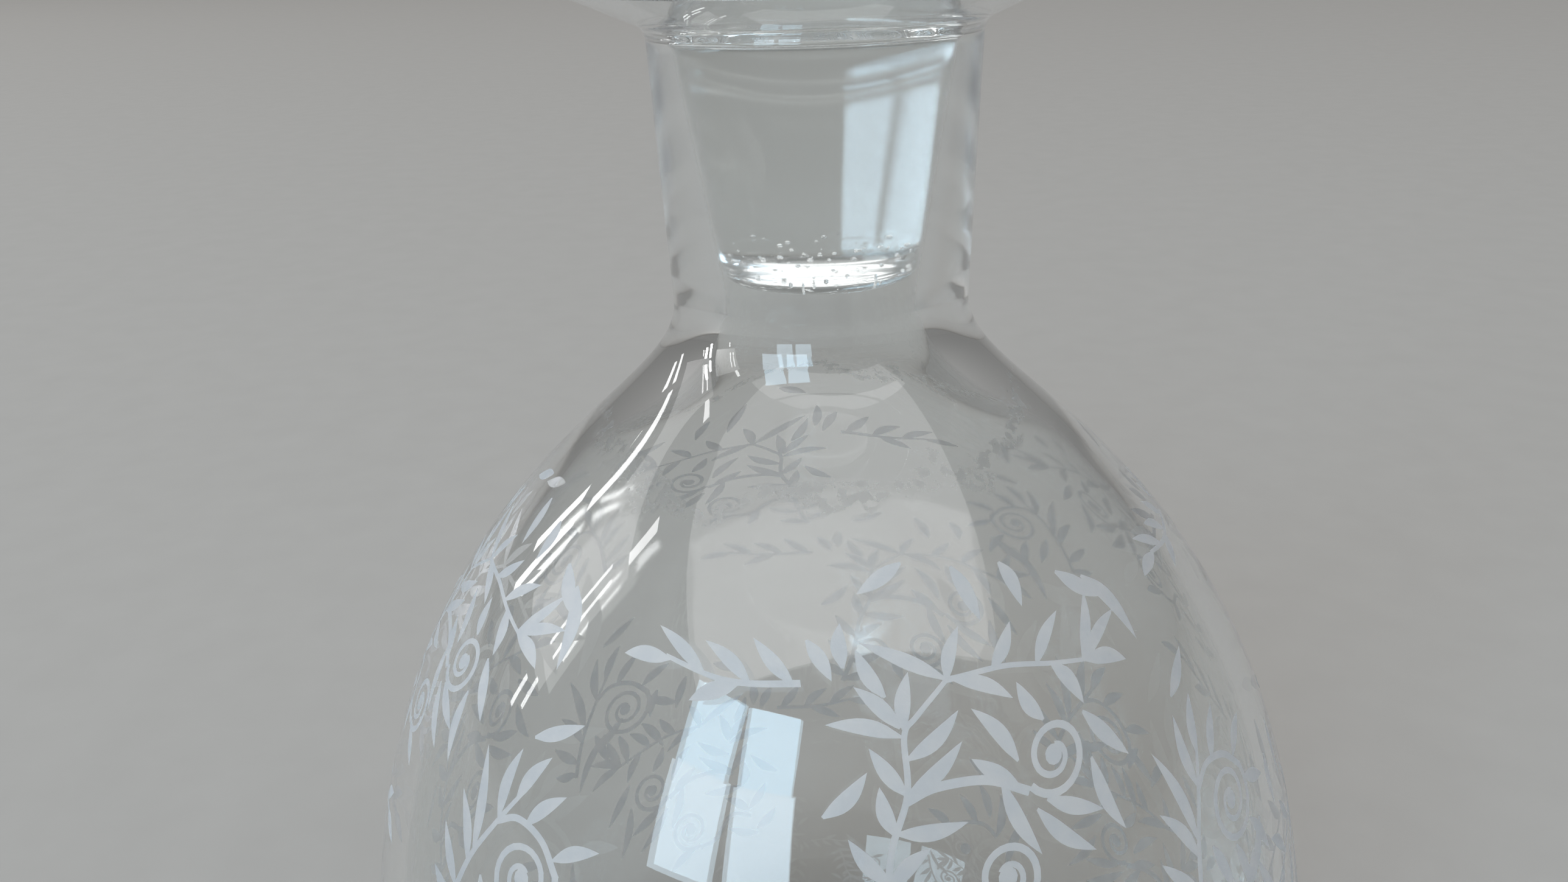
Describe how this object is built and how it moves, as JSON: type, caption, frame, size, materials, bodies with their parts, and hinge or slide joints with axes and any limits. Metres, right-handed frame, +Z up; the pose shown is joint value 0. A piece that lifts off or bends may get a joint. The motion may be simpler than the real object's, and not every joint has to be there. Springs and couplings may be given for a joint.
{
  "type": "glass decanter",
  "caption": "Clear glass decanter with an etched globe body, thick neck and flared lip, closed by a solid ground glass ball stopper that lifts out.",
  "frame": {"origin": "centre of the base, on the plane that the decanter stands on", "axes": "+Z up along the axis of the neck; the decanter is round, so +X and +Y are free, and the picture was taken from -Y"},
  "size_m": [0.122, 0.122, 0.229],
  "materials": {
    "vessel_glass": "clear fire-polished glass, the body etched with matte foliage",
    "stopper_glass": "clear polished glass with a smooth ground plug"
  },
  "bodies": {
    "vessel": {"vessel": "vessel_glass"},
    "stopper": {"stopper": "stopper_glass"}
  },
  "joints": [
    {"name": "stopper_lift", "type": "slide", "parent": "vessel", "child": "stopper", "axis": [0, 0, 1], "range_m": [0, 0.06]}
  ]
}
